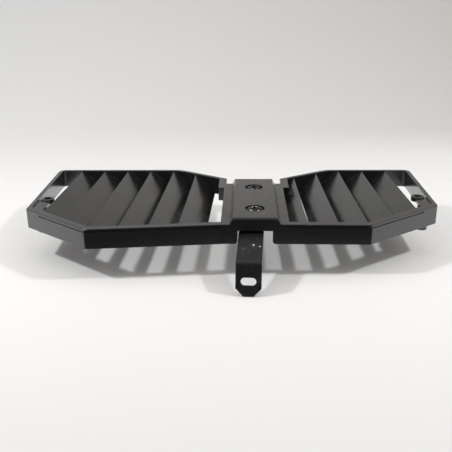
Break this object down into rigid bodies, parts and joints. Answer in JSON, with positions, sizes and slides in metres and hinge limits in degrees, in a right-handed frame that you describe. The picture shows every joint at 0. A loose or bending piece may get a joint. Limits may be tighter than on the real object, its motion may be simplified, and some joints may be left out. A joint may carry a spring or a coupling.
{
  "type": "motorcycle radiator guard",
  "caption": "Moulded radiator guard with two slatted wings, a raised bridge between them and a bolted bracket whose leg has a slot.",
  "frame": {"origin": "middle of the slot, on the front face of the bracket's leg", "axes": "+X to the right wing, +Y to the back edge, +Z out of the guard's top face"},
  "size_m": [0.3686, 0.2093, 0.0517],
  "materials": {
    "moulded_black": "satin black moulded plastic with a fine grain",
    "coated_black": "black coated steel strip, scuffed along its edges",
    "black_zinc": "dark plated steel"
  },
  "bodies": {
    "root": {"guard": "moulded_black", "centre_bracket": "coated_black", "bridge_screw_front": "black_zinc", "bridge_screw_rear": "black_zinc", "bridge_nut_front": "black_zinc", "bridge_nut_rear": "black_zinc"}
  },
  "joints": []
}
